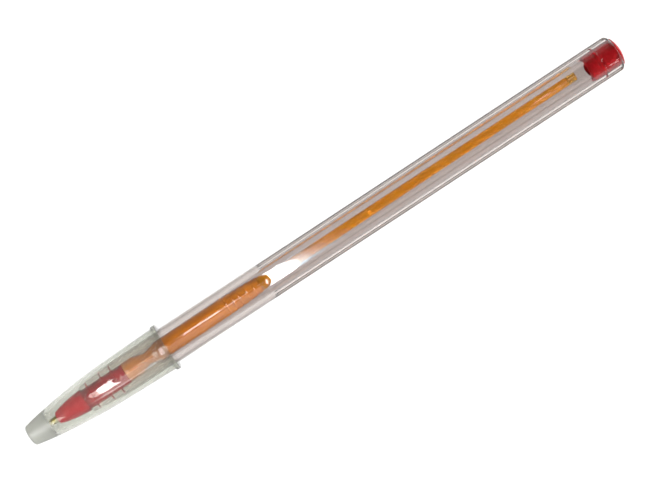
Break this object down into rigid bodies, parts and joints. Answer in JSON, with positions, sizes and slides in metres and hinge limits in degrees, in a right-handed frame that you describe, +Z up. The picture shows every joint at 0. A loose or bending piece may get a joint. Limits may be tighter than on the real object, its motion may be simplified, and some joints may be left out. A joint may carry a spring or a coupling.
{
  "type": "stick ballpoint pen",
  "caption": "Clear stick ballpoint pen with a round grip, hexagonal rear barrel, translucent pull-off cap, red nose cone and end plug, and an amber ink refill.",
  "frame": {"origin": "middle of the capped length, under the pen's axis, level with the lowest point of the cap's mouth flange", "axes": "+X along the pen from the cap's tip to the end plug, +Y sideways, +Z up with a flat of the hexagonal barrel facing up and one facing down"},
  "size_m": [0.15, 0.0108, 0.0109],
  "materials": {
    "milky_cap": "milky translucent polypropylene, satin",
    "clear_barrel": "clear polystyrene, glossy",
    "red_plastic": "red moulded plastic, glossy",
    "tip_brass": "turned brass",
    "ball_carbide": "ground hard metal",
    "amber_adapter": "translucent amber plastic",
    "amber_tube": "translucent extruded plastic",
    "orange_ink": "ink paste"
  },
  "bodies": {
    "pen": {"barrel": "clear_barrel", "nose_cone": "red_plastic", "tip_socket": "tip_brass", "tube_adapter": "amber_adapter", "ink_tube": "amber_tube", "ink_column": "orange_ink", "end_plug": "red_plastic"},
    "cap": {"cap": "milky_cap"},
    "ball": {"writing_ball": "ball_carbide"}
  },
  "joints": [
    {"name": "cap_pull", "type": "slide", "parent": "pen", "child": "cap", "axis": [-1, 0, 0], "range_m": [0, 0.045]},
    {"name": "ball_roll", "type": "hinge", "parent": "pen", "child": "ball", "pos_m": [-0.07002, 0, 0.00543], "axis": [0, 1, 0], "continuous": true}
  ]
}
